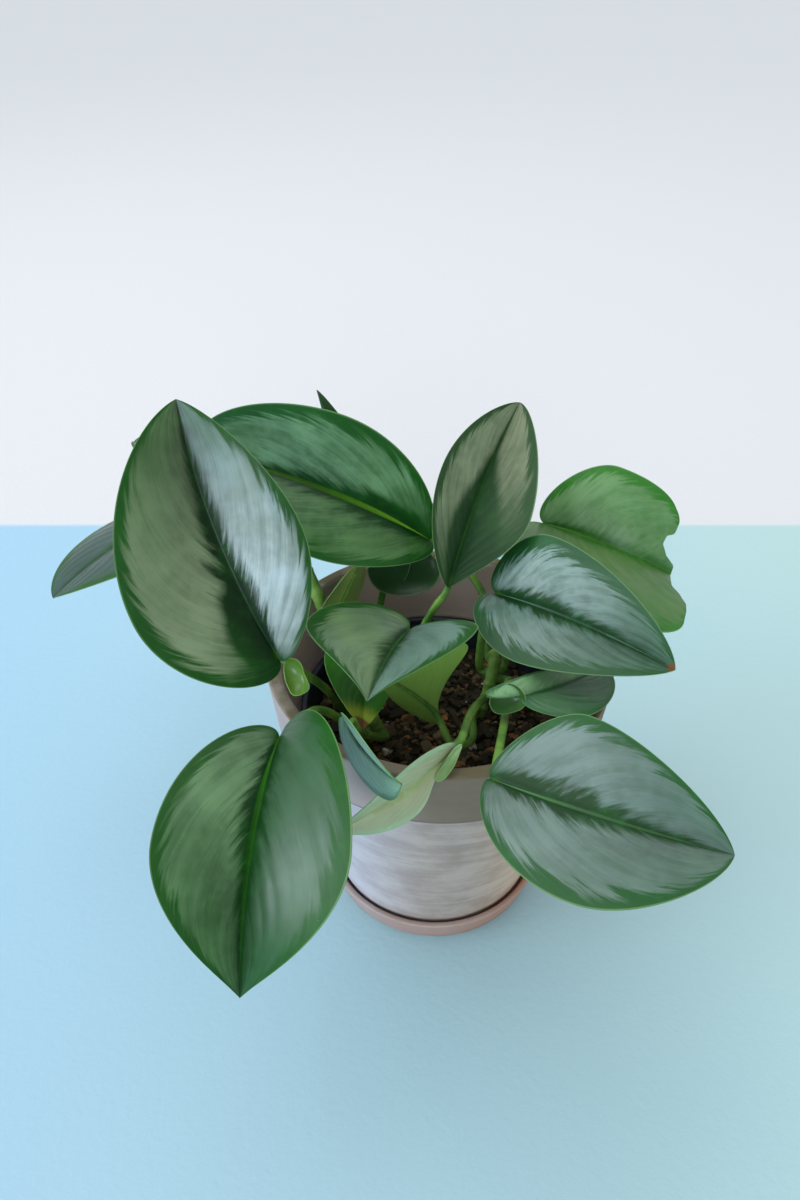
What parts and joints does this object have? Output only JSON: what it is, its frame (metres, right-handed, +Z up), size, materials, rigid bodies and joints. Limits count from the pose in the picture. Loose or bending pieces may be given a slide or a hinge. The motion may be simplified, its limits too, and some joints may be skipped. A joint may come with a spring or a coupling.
{
  "type": "potted scindapsus",
  "caption": "Young scindapsus with heart-shaped silver-green leaves on slim stalks, in a collared terracotta pot on a shallow clay saucer.",
  "frame": {"origin": "middle of the saucer's underside, on the surface that the plant stands on", "axes": "+Z up along the pot's axis, -Y towards the front, +X to the right seen from the front"},
  "size_m": [0.2717, 0.3013, 0.2379],
  "materials": {
    "terracotta": "matte terracotta with a chalky grey-pink bloom",
    "saucer_terracotta": "matte rosy terracotta",
    "black_plastic": "satin black moulded plastic",
    "potting_mix": "rough dark bark mix",
    "stem_green": "smooth satin green stem",
    "leaf_green": "satin dark green leaf with silver-grey bands, plain light green underside",
    "young_leaf_green": "satin pale yellow-green young leaf"
  },
  "bodies": {
    "root": {"blade_back_broad": "leaf_green", "blade_back_small": "leaf_green", "blade_back_tall": "leaf_green", "blade_back_upright": "leaf_green", "blade_centre_folded": "leaf_green", "blade_far_back": "leaf_green", "blade_far_left": "leaf_green", "blade_front_left": "leaf_green", "blade_front_narrow": "leaf_green", "blade_front_right": "leaf_green", "blade_inner_cupped": "leaf_green", "blade_inner_spotted": "leaf_green", "blade_left_tall": "leaf_green", "blade_right_silver": "leaf_green", "blade_right_small": "leaf_green", "blade_right_torn": "leaf_green", "blade_young_pale": "young_leaf_green", "nursery_pot": "black_plastic", "potting_mix": "potting_mix", "saucer": "saucer_terracotta", "stalk_back_broad": "stem_green", "stalk_back_small": "stem_green", "stalk_back_tall": "stem_green", "stalk_back_upright": "stem_green", "stalk_centre_folded": "stem_green", "stalk_far_back": "stem_green", "stalk_far_left": "stem_green", "stalk_front_left": "stem_green", "stalk_front_narrow": "stem_green", "stalk_front_right": "stem_green", "stalk_inner_cupped": "stem_green", "stalk_inner_spotted": "stem_green", "stalk_left_tall": "stem_green", "stalk_right_silver": "stem_green", "stalk_right_small": "stem_green", "stalk_right_torn": "stem_green", "stalk_young_pale": "stem_green", "stem_back": "stem_green", "stem_centre": "stem_green", "stem_front": "stem_green", "stem_right": "stem_green", "stem_trailing": "stem_green", "terracotta_pot": "terracotta"}
  },
  "joints": []
}
